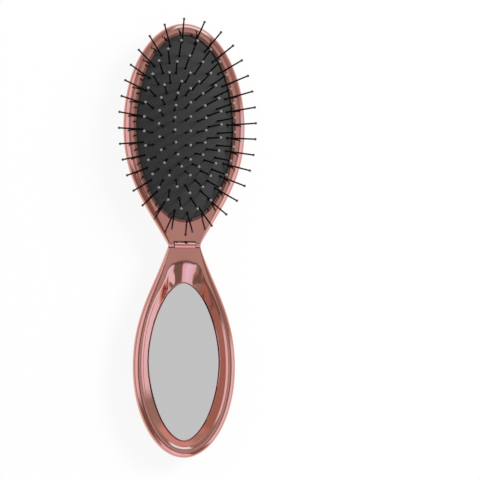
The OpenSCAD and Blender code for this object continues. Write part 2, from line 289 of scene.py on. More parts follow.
@dataclass
class Piece:
    """A mesh in the making, in the own frame of one half."""

    name: str
    half: Half
    hinge: Hinge
    mesh: bmesh.types.BMesh = field(default_factory=bmesh.new)

    SHARP = math.radians(32)  # an edge that turns by more is a crease
    WELD = 2e-7  # corners nearer than this, in metres, become one
    CUT_NEAR = 1e-8  # corners nearer than this, in metres, lie on a cut
    BAR_SIDES = 96

    def loft(self, rings: Sequence[Sequence[Point]], ring_closed: bool = False) -> None:
        """Adds a skin through rings of equal length.

        Args:
            rings: the rings, in order.
            ring_closed: whether the last ring runs on into the first; both ends are capped if not.
        """
        rows = [[self.mesh.verts.new(self.hinge.place(self.half, p)) for p in ring] for ring in rings]
        count = len(rings[0])
        pairs = list(zip(rows, rows[1:]))
        if ring_closed:
            pairs.append((rows[-1], rows[0]))
        for low, high in pairs:
            for j in range(count):
                k = (j + 1) % count
                self.mesh.faces.new((low[j], low[k], high[k], high[j]))
        if not ring_closed:
            self.mesh.faces.new(rows[0])
            self.mesh.faces.new(rows[-1])

    def trim(self, distance: float) -> None:
        """Cuts away all that lies nearer the hinge than a distance, and closes the cut.

        Args:
            distance: distance of the cut from the hinge.
        """
        place = self.hinge.place(self.half, (0, distance, 0))
        cut = bmesh.ops.bisect_plane(
            self.mesh,
            geom=[*self.mesh.verts, *self.mesh.edges, *self.mesh.faces],
            dist=self.CUT_NEAR,
            plane_co=place,
            plane_no=(0, -self.half.value, 0),
            clear_outer=True,
        )
        edges = [e for e in cut["geom_cut"] if isinstance(e, bmesh.types.BMEdge)]
        bmesh.ops.contextual_create(self.mesh, geom=edges)

    def bar(self, radius: float, length: float) -> None:
        """Adds a round bar on the hinge axis.

        Args:
            radius: radius of the bar.
            length: length of the bar.
        """
        turn = Matrix.Rotation(math.pi / 2, 4, "Y")
        move = Matrix.Translation(Vector((0, self.hinge.y, self.hinge.z)) * MM)
        bmesh.ops.create_cone(
            self.mesh,
            cap_ends=True,
            segments=self.BAR_SIDES,
            radius1=radius * MM,
            radius2=radius * MM,
            depth=length * MM,
            matrix=move @ turn,
        )

    def finish(self) -> bpy.types.Object:
        """Turns the faces outwards and the mesh into an object.

        Returns:
            The object, shaded.
        """
        bmesh.ops.remove_doubles(self.mesh, verts=self.mesh.verts, dist=self.WELD)
        bmesh.ops.recalc_face_normals(self.mesh, faces=self.mesh.faces)
        data = bpy.data.meshes.new(self.name)
        self.mesh.to_mesh(data)
        self.mesh.free()
        made = bpy.data.objects.new(self.name, data)
        bpy.context.scene.collection.objects.link(made)
        crease(made, self.SHARP)
        return made


def crease(made: bpy.types.Object, angle: float) -> None:
    """Shades a mesh smooth, apart from its sharp edges.

    Args:
        made: the object.
        angle: the turn, in radians, from which an edge is sharp.
    """
    mesh = bmesh.new()
    mesh.from_mesh(made.data)
    for face in mesh.faces:
        face.smooth = True
    for edge in mesh.edges:
        edge.smooth = edge.calc_face_angle(0) < angle
    mesh.to_mesh(made.data)
    mesh.free()


class Carving(Enum):
    """What a bar does to an object."""

    JOIN = "UNION"
    CUT = "DIFFERENCE"


def carve(made: bpy.types.Object, hinge: Hinge, radius: float, length: float, carving: Carving) -> None:
    """Joins a round bar on the hinge axis to an object, or cuts it away.

    Args:
        made: the object that is changed.
        hinge: the hinge.
        radius: radius of the bar.
        length: length of the bar.
        carving: whether the bar is joined or cut away.
    """
    bar = Piece("bar", Half.HEAD, hinge)
    bar.bar(radius, length)
    tool = bar.finish()
    step = made.modifiers.new("carve", "BOOLEAN")
    step.operation = carving.value
    step.solver = "EXACT"
    step.object = tool
    graph = bpy.context.evaluated_depsgraph_get()
    data = bpy.data.meshes.new_from_object(made.evaluated_get(graph))
    made.modifiers.remove(step)
    old = made.data
    made.data = data
    bpy.data.meshes.remove(old)
    bpy.data.meshes.remove(tool.data)
    crease(made, Piece.SHARP)


# ---------- Finishes ----------


@dataclass(frozen=True)
class Finish:
    """A material, made once and named for what it is."""

    name: str

    def material(self) -> bpy.types.Material:
        """Builds the material, the first time that it is asked for.

        Returns:
            The finish as a material.
        """
        found = bpy.data.materials.get(self.name)
        if found:
            return found
        made = bpy.data.materials.new(self.name)
        made.use_nodes = True
        made.node_tree.nodes.clear()
        add_node(made.node_tree, "ShaderNodeOutputMaterial", inputs={"Surface": self.shader(made.node_tree)})
        return made

    def shader(self, tree: bpy.types.NodeTree) -> bpy.types.Node:
        """Builds the shader of the finish.

        Args:
            tree: the material's node tree.

        Returns:
            The shader node.
        """
        raise NotImplementedError

    def dress(self, made: bpy.types.Object) -> None:
        """Gives an object this finish in place of any other."""
        made.data.materials.clear()
        made.data.materials.append(self.material())


def blots(tree: bpy.types.NodeTree, size: float, gloss: Flat) -> tuple[bpy.types.Node, bpy.types.Node]:
    """Soft blots of a real size, with a roughness that goes with them.

    Args:
        tree: the material's node tree.
        size: size of the blots in millimetres.
        gloss: the lowest and the highest roughness.

    Returns:
        The noise and the roughness.
    """
    place = add_node(tree, "ShaderNodeTexCoord").outputs["Object"]
    noise = add_node(tree, "ShaderNodeTexNoise", inputs={"Vector": place, "Scale": per_mm(size)})
    ends = {"From Min": NOISE_RANGE[0], "From Max": NOISE_RANGE[1], "To Min": gloss[0], "To Max": gloss[1]}
    return noise, add_node(tree, "ShaderNodeMapRange", inputs={"Value": noise, **ends})


@dataclass(frozen=True)
class PlatedAbs(Finish):
    """Moulded ABS, vacuum metallised and lacquered in rose: a mirror with the softness of its mould."""

    colour: str = "DA9B8E"
    deep_colour: str = "D29286"
    gloss: Flat = (0.06, 0.11)
    haze_size: float = 9.0  # cloudiness of the lacquer
    peel_size: float = 2.6  # ripple of the lacquer
    peel_height: float = 0.02  # height of that ripple
    peel_strength: float = 0.35

    def shader(self, tree: bpy.types.NodeTree) -> bpy.types.Node:
        """Metal colour with a faint cloudiness, and the ripple of its lacquer.

        Args:
            tree: the material's node tree.

        Returns:
            The shader node.
        """
        cloud, rough = blots(tree, self.haze_size, self.gloss)
        tint = add_node(
            tree,
            "ShaderNodeMix",
            {"data_type": "RGBA"},
            {"Factor": cloud, MIX_A: srgb(self.colour), MIX_B: srgb(self.deep_colour)},
        )
        place = add_node(tree, "ShaderNodeTexCoord").outputs["Object"]
        peel = add_node(
            tree,
            "ShaderNodeTexNoise",
            inputs={"Vector": place, "Scale": per_mm(self.peel_size), "Detail": 0.0},
        )
        bump = add_node(
            tree,
            "ShaderNodeBump",
            inputs={"Height": peel, "Strength": self.peel_strength, "Distance": self.peel_height * MM},
        )
        return add_node(
            tree,
            "ShaderNodeBsdfPrincipled",
            inputs={
                "Base Color": tint.outputs[MIX_OUT],
                "Metallic": 1.0,
                "Roughness": rough,
                "Normal": bump,
            },
        )


@dataclass(frozen=True)
class KnurledRubber(Finish):
    """Moulded rubber with a fine diamond grain: matt charcoal that breaks up at close range, with painted
    shade in the diamonds' low parts.
    """

    colour: str = "4A4949"
    painted_shade_colour: str = "222121"
    roughness: float = 0.75
    specular: float = 0.24
    ior: float = 1.5
    # The diamonds are a little coarser than the grain of such a cushion, so that they show
    pitch: float = 0.84
    wave_range: Flat = (-1.4, 0.6)  # heights of the two waves together that are dark and light; the dark lows are painted shade
    depth: float = 0.08
    strength: float = 0.5

    def shader(self, tree: bpy.types.NodeTree) -> bpy.types.Node:
        """Two crossed sets of waves make the diamonds in height, and paint shade into their low parts.

        Args:
            tree: the material's node tree.

        Returns:
            The shader node.
        """
        place = add_node(tree, "ShaderNodeTexCoord").outputs["Object"]
        split = add_node(tree, "ShaderNodeSeparateXYZ", inputs={0: place}).outputs
        turn = math.tau * per_mm(self.pitch) / math.sqrt(2)
        waves = []
        for sign in ("ADD", "SUBTRACT"):
            across = add_node(tree, "ShaderNodeMath", {"operation": sign}, {0: split["X"], 1: split["Y"]})
            scaled = add_node(tree, "ShaderNodeMath", {"operation": "MULTIPLY"}, {0: across, 1: turn})
            waves.append(add_node(tree, "ShaderNodeMath", {"operation": "SINE"}, {0: scaled}))
        total = add_node(tree, "ShaderNodeMath", {"operation": "ADD"}, {0: waves[0], 1: waves[1]})
        low, high = self.wave_range
        height = add_node(
            tree, "ShaderNodeMapRange", inputs={"Value": total, "From Min": low, "From Max": high}
        )
        # Painted shade: the low parts of the diamonds take the darker colour
        colour = add_node(
            tree,
            "ShaderNodeMix",
            {"data_type": "RGBA"},
            {"Factor": height, MIX_A: srgb(self.painted_shade_colour), MIX_B: srgb(self.colour)},
        )
        bump = add_node(
            tree,
            "ShaderNodeBump",
            inputs={"Height": height, "Strength": self.strength, "Distance": self.depth * MM},
        )
        return add_node(
            tree,
            "ShaderNodeBsdfPrincipled",
            inputs={
                "Base Color": colour.outputs[MIX_OUT],
                "Roughness": self.roughness,
                "IOR": self.ior,
                "Specular IOR Level": self.specular,
                "Normal": bump,
            },
        )


@dataclass(frozen=True)
class MouldedPlastic(Finish):
    """A plain moulded plastic with a slight drift of colour and gloss from the flow in its mould."""

    colour: str
    second_colour: str
    gloss: Flat
    grain: float = 3.0
    ior: float = 1.53
    specular: float = 0.5

    def shader(self, tree: bpy.types.NodeTree) -> bpy.types.Node:
        """Colour and gloss that drift with a soft noise.

        Args:
            tree: the material's node tree.

        Returns:
            The shader node.
        """
        drift, rough = blots(tree, self.grain, self.gloss)
        tint = add_node(
            tree,
            "ShaderNodeMix",
            {"data_type": "RGBA"},
            {"Factor": drift, MIX_A: srgb(self.colour), MIX_B: srgb(self.second_colour)},
        )
        return add_node(
            tree,
            "ShaderNodeBsdfPrincipled",
            inputs={
                "Base Color": tint.outputs[MIX_OUT],
                "Roughness": rough,
                "IOR": self.ior,
                "Specular IOR Level": self.specular,
            },
        )


@dataclass(frozen=True)
class BareMetal(Finish):
    """A bare metal surface, drawn or polished, with fine streaks in its gloss."""

    colour: str
    gloss: Flat
    streak: float = 0.4

    def shader(self, tree: bpy.types.NodeTree) -> bpy.types.Node:
        """Metal colour with streaks in its roughness.

        Args:
            tree: the material's node tree.

        Returns:
            The shader node.
        """
        rough = blots(tree, self.streak, self.gloss)[1]
        return add_node(
            tree,
            "ShaderNodeBsdfPrincipled",
            inputs={"Base Color": srgb(self.colour), "Metallic": 1.0, "Roughness": rough},
        )


PLATED_ROSE = PlatedAbs("rose_metallised_abs")
CUSHION_RUBBER = KnurledRubber("knurled_cushion_rubber")
# A dull black, with hardly a light along each shaft
BRISTLE_NYLON = MouldedPlastic("black_drawn_nylon", "040404", "070707", (0.5, 0.58), specular=0.12)
# Grey beads with a soft light; the outer row's are the same epoxy darkened, a painted shade
BEAD_EPOXY = MouldedPlastic("dipped_epoxy_bead", "979393", "8B8686", (0.35, 0.41), grain=1.5)
OUTER_BEAD_PAINTED_SHADE = MouldedPlastic("outer_bead_painted_shade", "4E3F42", "46393B", (0.35, 0.41), grain=1.5)
# A flat grey, inside the head
INNER_RESIN = MouldedPlastic("grey_moulded_resin", "5A5A5C", "4F4F51", (0.5, 0.6))
# A chalky white without a shine
PAD_FOAM = MouldedPlastic("white_foam_tape", "D9D8D4", "CBCAC5", (0.85, 0.93), grain=0.6)
# Clean and even, so that the glass reads as flat
SILVERED_GLASS = BareMetal("silvered_mirror_glass", "F3F4F4", (0.015, 0.025), streak=20.0)
# The glass's ground edge, darkened as a painted shade of the gap round the glass
GROUND_EDGE_SHADE = MouldedPlastic("ground_edge_painted_shade", "2A2423", "1E1A19", (0.6, 0.68), grain=0.5, specular=0.2)
# Steel darkened as painted shade between the knuckles, with a soft shine
PIN_STEEL = BareMetal("shade_darkened_spring_steel", "6F6662", (0.3, 0.42))


# ---------- The two halves ----------


@dataclass(frozen=True)
class Form:
    """Outline of a half, by its driving sizes."""

    length: float  # from the hinge to the tip
    half_width: float
    peak: float  # distance from the hinge at which it is widest
    neck: float  # half width at the hinge
    flare: float  # how fast it widens there, in mm a mm

    NECK_RUN = 9.0
    NECK_ROUND = 5.0
    NECK_START = 0.4
    FLANK_LEAD = 0.35
    BELLY = 0.56
    NECK_FADE = 0.2
    FLARE_FADE = 0.06
    NECK_STEPS = 10
    FLANK_STEPS = 72
    TIP_STEPS = 64

    def inset(self, d: float) -> "Form":
        """The outline drawn in, and by less towards the hinge.

        Args:
            d: length that it is drawn in by.

        Returns:
            The smaller outline.
        """
        return Form(
            self.length - d,
            self.half_width - d,
            self.peak,
            self.neck - d * self.NECK_FADE,
            self.flare - d * self.FLARE_FADE,
        )

    def outline(self) -> list[Flat]:
        """Draws one side, from the run-out past the hinge to the tip, and mirrors it.

        Returns:
            The closed outline.
        """
        neck = [
            (-self.NECK_RUN, 0),
            (-self.NECK_RUN, self.neck * self.NECK_START),
            (-self.NECK_ROUND, self.neck - self.NECK_ROUND * self.flare),
            (0, self.neck),
        ]
        lead = self.peak * self.FLANK_LEAD
        flank = [
            (0, self.neck),
            (lead, self.neck + lead * self.flare),
            (self.peak * self.BELLY, self.half_width),
            (self.peak, self.half_width),
        ]
        side = bezier(neck, self.NECK_STEPS) + bezier(flank, self.FLANK_STEPS)
        tip = self.length - self.peak
        for a in sweep(math.pi / 2, self.TIP_STEPS):
            side.append((self.peak + tip * math.sin(a), self.half_width * max(math.cos(a), 0)))
        return closed(side)


@dataclass
class Shell:
    """Domed back of a half, with its rounded shoulder, the seat of its front piece and its cavity."""

    hinge: Hinge
    depth: float = 14.0
    wall: float = 1.6
    shoulder_w: float = 2.3
    shoulder_drop: float = 2.2
    ledge_w: float = 0.9
    plate_t: float = 1.6
    plate_gap: float = 0.12
    butt: float = 0.15
    end_wall: float = 2.0
    crown_flat: float = 0.16
    dome_power: float = 2.15
    dome_steps: int = 44
    crown_steps: int = 3
    shoulder_steps: int = 14
    edge_round: float = 0.08
    seam: float = 0.18  # how much the gap round a front piece opens
    front_round: float = 0.12  # rounding of a front piece's edge

    @property
    def silhouette_z(self) -> float:
        """Height of the widest line."""
        return self.depth - self.shoulder_drop

    def dome_ring(self, form: Form, share: float, z: float) -> list[Point]:
        """Outline drawn in about the crown to a share, at height z."""
        return [(share * x, form.peak + share * (y - form.peak), z) for x, y in form.outline()]

    def dome(self, form: Form, z0: float, z1: float) -> list[list[Point]]:
        """Rings of a dome, from the middle of its flat crown at z0 to its full outline at z1.

        Args:
            form: outline of the dome's rim.
            z0: height of the crown.
            z1: height of the rim.

        Returns:
            The rings, crown first.
        """
        rings = [
            self.dome_ring(form, self.crown_flat * (i + 1) / (self.crown_steps + 1), z0)
            for i in range(self.crown_steps)
        ]
        for a in sweep(math.pi / 2, self.dome_steps):
            out = math.sin(a) ** (2 / self.dome_power)
            up = 1 - max(math.cos(a), 0) ** (2 / self.dome_power)
            share = self.crown_flat + (1 - self.crown_flat) * out
            rings.append(self.dome_ring(form, share, z0 + (z1 - z0) * up))
        return rings

    def shoulder(self, form: Form) -> list[list[Point]]:
        """Rings of the rounded shoulder, from above the widest line to the seat of the front piece.

        Args:
            form: outline of the half.

        Returns:
            The rings, lowest first.
        """
        seat = self.shoulder_w - self.plate_gap
        last = math.acos(1 - seat / self.shoulder_w)
        rings = []
        for a in sweep(last, self.shoulder_steps)[1:]:
            d = self.shoulder_w * (1 - math.cos(a))
            rings.append(level(form.inset(d).outline(), self.silhouette_z + self.shoulder_drop * math.sin(a)))
        return rings

    def front_edge(
        self, form: Form, shift: float, inner: Sequence[Flat], ways: Sequence[Flat], steps: int
    ) -> list[list[Point]]:
        """Rings of the rounded edge of a front piece, from its underside to its flat.

        Args:
            form: outline of the half.
            shift: how far to the right the piece sits in its seat.
            inner: inner outline of the piece.
            ways: the ways from the points of that outline to the edge.
            steps: faces across the rounding.

        Returns:
            The rings, lowest first.
        """
        corner = [(0.0, self.plate_t)]
        for a in sweep(math.pi / 2, steps):
            corner.append((self.front_round * (1 - math.cos(a)), self.front_round * (1 - math.sin(a))))
        corner.append((self.front_round + HEM, 0.0))
        rings = []
        for d, drop in corner:
            outline = [(x + shift, y) for x, y in form.inset(self.shoulder_w + self.seam + d).outline()]
            rings.append(level(matched(outline, inner, ways), self.depth - drop))
        return rings

    def build(self, name: str, half: Half, form: Form) -> bpy.types.Object:
        """Makes the shell of one half.

        Args:
            name: name of the piece.
            half: the half that it is the back of.
            form: outline of the half.

        Returns:
            The shell, cut for the hinge.
        """
        seat = form.inset(self.shoulder_w - self.plate_gap).outline()
        inner = form.inset(self.shoulder_w + self.ledge_w)
        ledge_z = self.depth - self.plate_t
        cavity = [level(inner.outline(), ledge_z), *reversed(self.dome(inner, self.wall, self.silhouette_z))]
        cavity = [[(x, max(y, self.end_wall), z) for x, y, z in ring] for ring in cavity]
        piece = Piece(name, half, self.hinge)
        piece.loft(
            [
                *self.dome(form, 0, self.silhouette_z),
                *self.shoulder(form),
                level(seat, self.depth - self.edge_round),
                level(seat, ledge_z),
                *cavity,
            ]
        )
        piece.trim(self.butt)
        made = piece.finish()
        room = self.plate_gap if half is Half.HEAD else self.hinge.turn_gap
        carve(made, self.hinge, self.hinge.knuckle_r + room, self.hinge.cut_len, Carving.CUT)
        PLATED_ROSE.dress(made)
        return made


@dataclass
class Bristles:
    """The bristles: where each stands, how it leans, and its shaft and bead."""

    length: float = 14.6
    radius: float = 0.39
    foot_radius: float = 0.6
    foot_height: float = 0.9
    foot_steps: int = 4
    waist_share: float = 0.98  # radius at half its length, as a share
    top_share: float = 0.9  # and at its bead
    bead_radius: float = 0.61
    bead_steps: int = 12
    root_depth: float = 1.2
    counts: tuple[int, ...] = (6, 18, 24, 28, 32)
    side_leans: tuple[float, ...] = (0, 6, 15, 23, 54)
    end_leans: tuple[float, ...] = (7.5, 11, 18, 24, 40)
    starts: tuple[float, ...] = (0, 0, 0, 0.5, 0.8)
    oval_side: float = 2.6
    oval_end: float = 3.1
    oval_spread: float = 0.9
    row_pitch: float = 6.3
    arc_steps: int = 90
    sides: int = 14
    folded_share: float = 0.03

    def half_axes(self, k: int, width: float, length: float) -> Flat:
        """Half axes of an oval of bristles.

        Args:
            k: which oval, from the innermost.
            width: width of the cushion.
            length: length of the cushion.

        Returns:
            Its half width and its half length.
        """
        last = len(self.counts) - 1
        return (
            (width / 2 - self.oval_side) * (k / last) ** self.oval_spread,
            length / 2 - self.oval_end - self.row_pitch * (last - k),
        )

    def feet(self, k: int, a: float, b: float) -> list[Flat]:
        """Feet of the bristles of oval k, at equal steps along it.

        Args:
            k: which oval, from the innermost.
            a: half width of the oval.
            b: half length of the oval.

        Returns:
            The feet, as x and distance from the middle of the cushion.
        """
        count = self.counts[k]
        if a == 0:
            return [(0.0, b * (1 - 2 * i / (count - 1))) for i in range(count)]
        step = math.tau / self.arc_steps
        sums = [0.0]
        for i in range(self.arc_steps):
            middle = step * (i + 0.5)
            sums.append(sums[-1] + step * math.hypot(a * math.cos(middle), b * math.sin(middle)))
        feet = []
        for i in range(count):
            target = (i + self.starts[k]) / count * sums[-1]
            j = min(bisect.bisect_right(sums, target), self.arc_steps)
            angle = step * (j - 1 + (target - sums[j - 1]) / (sums[j] - sums[j - 1]))
            feet.append((a * math.sin(angle), b * math.cos(angle)))
        return feet

    def lean_way(self, k: int, foot: Flat, a: float, b: float) -> Vector:
        """Way that a bristle points.

        Args:
            k: which oval, from the innermost.
            foot: x and distance of its foot from the middle of the cushion.
            a: half width of the oval.
            b: half length of the oval.

        Returns:
            A unit vector in the head's own frame.
        """
        lean = Vector((self.side_leans[k] * foot[0] / a if a else 0, self.end_leans[k] * foot[1] / b, 0))
        angle = math.radians(lean.length)
        return lean.normalized() * math.sin(angle) + Vector((0, 0, math.cos(angle)))

    def shaft_profile(self) -> list[Flat]:
        """Profile of a shaft with its flared foot.

        Returns:
            Radius and height, from its root to the bead.
        """
        flare = self.foot_radius - self.radius
        profile = [(self.foot_radius, -self.root_depth), (self.foot_radius, 0.0)]
        for i in range(1, self.foot_steps + 1):
            share = i / self.foot_steps
            profile.append((self.radius + flare * (1 - share) ** 2, self.foot_height * share))
        profile.append((self.radius * self.waist_share, self.length / 2))
        profile.append((self.radius * self.top_share, self.length))
        return profile

    def bead_profile(self) -> list[Flat]:
        """Profile of a bead.

        Returns:
            Radius and height, from its neck on the shaft to its top.
        """
        start = math.asin(self.radius * self.top_share / self.bead_radius)
        profile = []
        for turn in sweep(math.pi - start, self.bead_steps)[:-1]:
            a = start + turn
            profile.append((self.bead_radius * math.sin(a), self.length - self.bead_radius * math.cos(a)))
        return profile

    def turned(
        self, name: str, profile: Sequence[Flat], base: Point, way: Vector, hinge: Hinge
    ) -> bpy.types.Object:
        """Makes a round part on a line.

        Args:
            name: name of the piece.
            profile: radius and height along the line.
            base: place where the height is 0, in the head's own frame.
            way: direction of the line.
            hinge: the hinge, for the head's own frame.

        Returns:
            The part.
        """
        turn = way.to_track_quat("Z", "Y").to_matrix()
        piece = Piece(name, Half.HEAD, hinge)
        rings = []
        for radius, height in profile:
            ring = []
            for a in sweep(math.tau, self.sides)[:-1]:
                at = Vector(base) + turn @ Vector((radius * math.cos(a), radius * math.sin(a), height))
                ring.append((at.x, at.y, at.z))
            rings.append(ring)
        piece.loft(rings)
        return piece.finish()

    def build(self, hinge: Hinge, cushion: "Cushion") -> int:
        """Makes every bristle of the brush, each with its bead.

        Args:
            hinge: the hinge.
            cushion: the cushion that the bristles stand in.

        Returns:
            How many bristles were made.
        """
        made = 0
        for k in range(len(self.counts)):
            a, b = self.half_axes(k, cushion.width, cushion.length)
            # The outer row's beads take the painted shade, a darker copy of the same epoxy
            epoxy = OUTER_BEAD_PAINTED_SHADE if k == len(self.counts) - 1 else BEAD_EPOXY
            for i, foot in enumerate(self.feet(k, a, b)):
                way = self.lean_way(k, foot, a, b)
                base = (foot[0], cushion.middle + foot[1], cushion.surface(*foot))
                parts = (
                    ("bristle", self.shaft_profile(), BRISTLE_NYLON, "bristle_nylon", "bristle_ring"),
                    ("bead", self.bead_profile(), epoxy, "ball_tip", "bristle_tips"),
                )
                for word, profile, finish, slot, node in parts:
                    piece = self.turned(f"{word}_{k + 1}_{i + 1:02d}", profile, base, way, hinge)
                    finish.dress(piece)
                    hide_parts(f"{node}_{k + 1}")
                    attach(piece, "head")
                    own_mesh(piece)
                made += 1
        return made


@dataclass
class Cushion:
    """Domed rubber cushion, with its collar and the flange that the front plate holds."""

    shell: Shell
    width: float
    length: float
    middle: float
    seat: list[Flat]
    edge_sink: float = 1.2
    crown_h: float = 3.6
    collar_gap: float = 0.15
    rubber_t: float = 1.4
    flange_w: float = 1.0
    flange_t: float = 1.0
    side_steps: int = 110
    dome_steps: int = 34

    @property
    def rim_z(self) -> float:
        """Height of the cushion's edge."""
        return self.shell.depth - self.edge_sink

    def surface(self, x: float, y: float) -> float:
        """Height of the rubber at a point, as x and distance from the cushion's middle."""
        rise = self.crown_h + self.edge_sink
        return self.rim_z + rise * (1 - (2 * x / self.width) ** 2 - (2 * y / self.length) ** 2)

    def oval(self, grow: float, share: float = 1.0) -> list[Flat]:
        """Closed oval of the cushion.

        Args:
            grow: length that it is grown by.
            share: share that it is then drawn in to.

        Returns:
            The oval.
        """
        count = 2 * self.side_steps
        return [
            (
                share * (self.width / 2 + grow) * math.sin(math.tau * i / count),
                self.middle - share * (self.length / 2 + grow) * math.cos(math.tau * i / count),
            )
            for i in range(count)
        ]

    def flange(self) -> list[Flat]:
        """Grows the cushion's oval, but no further than the seat of the shell.

        Returns:
            Outline of the flange.
        """
        edge = self.oval(0)
        flange = []
        for p, way in zip(edge, outward(edge, self.middle)):
            seat = met(self.seat, p, way)[0]
            reach = min(self.flange_w, math.dist(seat, p))
            flange.append((p[0] + way[0] * reach, p[1] + way[1] * reach))
        return flange

    def dome(self, grow: float, drop: float) -> list[list[Point]]:
        """Rings of the dome, from its edge to near its crown.

        Args:
            grow: length that its oval is grown by.
            drop: length that it is lowered by.

        Returns:
            The rings, lowest first.
        """
        rise = self.crown_h + self.edge_sink
        rings = []
        for i in range(self.dome_steps):
            share = math.cos(math.pi / 2 * i / self.dome_steps)
            rings.append(level(self.oval(grow, share), self.rim_z - drop + rise * (1 - share * share)))
        return rings

    def build(self) -> bpy.types.Object:
        """Makes the cushion: a hollow dome on its collar and flange.

        Returns:
            The cushion.
        """
        flange_top = self.shell.depth - self.shell.plate_t
        flange_bottom = flange_top - self.flange_t
        flange = self.flange()
        collar = self.oval(-self.collar_gap)
        piece = Piece("cushion_pad", Half.HEAD, self.shell.hinge)
        piece.loft(
            [
                *reversed(self.dome(-self.rubber_t, self.rubber_t)),
                level(self.oval(-self.rubber_t), flange_bottom),
                level(flange, flange_bottom),
                level(flange, flange_top),
                level(collar, flange_top),
                *self.dome(-self.collar_gap, 0),
            ]
        )
        made = piece.finish()
        CUSHION_RUBBER.dress(made)
        return made


@dataclass
class Head:
    """The head: shell, front plate with its knuckles, cushion and bristles."""

    hinge: Hinge
    shell: Shell
    form: Form = Form(102.4, 28.2, 54.4, 7.3, 0.57)
    cushion_side: float = 5.7
    cushion_start: float = 11.7
    cushion_end: float = 5.3
    flange_gap: float = 0.15
    brim_w: float = 1.85  # rim that falls towards the cushion: a roll, then a narrow bevel
    brim_roll: float = 0.7
    brim_turn: float = 8.7
    brim_ends: float = 3.8  # how much more it turns at both ends
    plate_shift: float = 0.12  # how far to the right the plate sits in its seat
    round_steps: int = 6
    bristles: Bristles = field(default_factory=Bristles)

    def cushion(self) -> Cushion:
        """Sizes the cushion from the head.

        Returns:
            The cushion.
        """
        length = self.form.length - self.cushion_start - self.cushion_end
        room = self.shell.shoulder_w + self.shell.ledge_w + self.flange_gap
        return Cushion(
            shell=self.shell,
            width=2 * (self.form.half_width - self.cushion_side),
            length=length,
            middle=self.cushion_start + length / 2,
            seat=self.form.inset(room).outline(),
        )

    def brim(self, p: Flat, way: Flat) -> list[Point]:
        """Points of the roll towards the cushion, from the flat of the plate to a point of its hole.

        Args:
            p: the point of the hole.
            way: direction away from the hole there.

        Returns:
            The points, outermost first.
        """
        turn = math.radians(self.brim_turn + self.brim_ends * way[1] ** 2)
        radius = self.brim_roll / math.sin(turn)
        steps = [(self.brim_w + HEM, 0.0)]
        for a in sweep(turn, self.round_steps):
            steps.append((self.brim_w - radius * math.sin(a), radius * (1 - math.cos(a))))
        bevel = self.brim_w - self.brim_roll
        steps.append((0.0, steps[-1][1] + bevel * math.tan(turn)))
        return [(p[0] + way[0] * d, p[1] + way[1] * d, self.shell.depth - fall) for d, fall in steps]

    def front_plate(self, cushion: Cushion) -> bpy.types.Object:
        """Makes the front plate: a flat ring round the cushion, with two knuckles at the hinge.

        Args:
            cushion: the cushion.

        Returns:
            The plate.
        """
        shell, hinge = self.shell, self.hinge
        hole = cushion.oval(0)
        ways = outward(hole, cushion.middle)
        rings = shell.front_edge(self.form, self.plate_shift, hole, ways, self.round_steps)
        rings += [list(ring) for ring in zip(*(self.brim(p, way) for p, way in zip(hole, ways)))]
        rings.append(level(hole, shell.depth - shell.plate_t))
        piece = Piece("head_plate", Half.HEAD, hinge)
        piece.loft(rings, ring_closed=True)
        piece.trim(shell.butt)
        made = piece.finish()
        carve(made, hinge, hinge.knuckle_r, 2 * (self.form.neck - hinge.knuckle_inset), Carving.JOIN)
        carve(made, hinge, hinge.barrel_r + hinge.turn_gap, hinge.barrel_slot, Carving.CUT)
        carve(made, hinge, hinge.pin_r, hinge.cut_len, Carving.CUT)
        PLATED_ROSE.dress(made)
        return made

    def build(self) -> None:
        """Makes the head's pieces and fastens them to the frame."""
        shell = self.shell.build("head_shell", Half.HEAD, self.form)
        fasten(shell, "head", "head_back_shell")
        cushion = self.cushion()
        fasten(self.front_plate(cushion), "head", "head_front_plate")
        pad = cushion.build()
        fasten(pad, "head", "cushion")
        log.info("%d bristles", self.bristles.build(self.hinge, cushion))


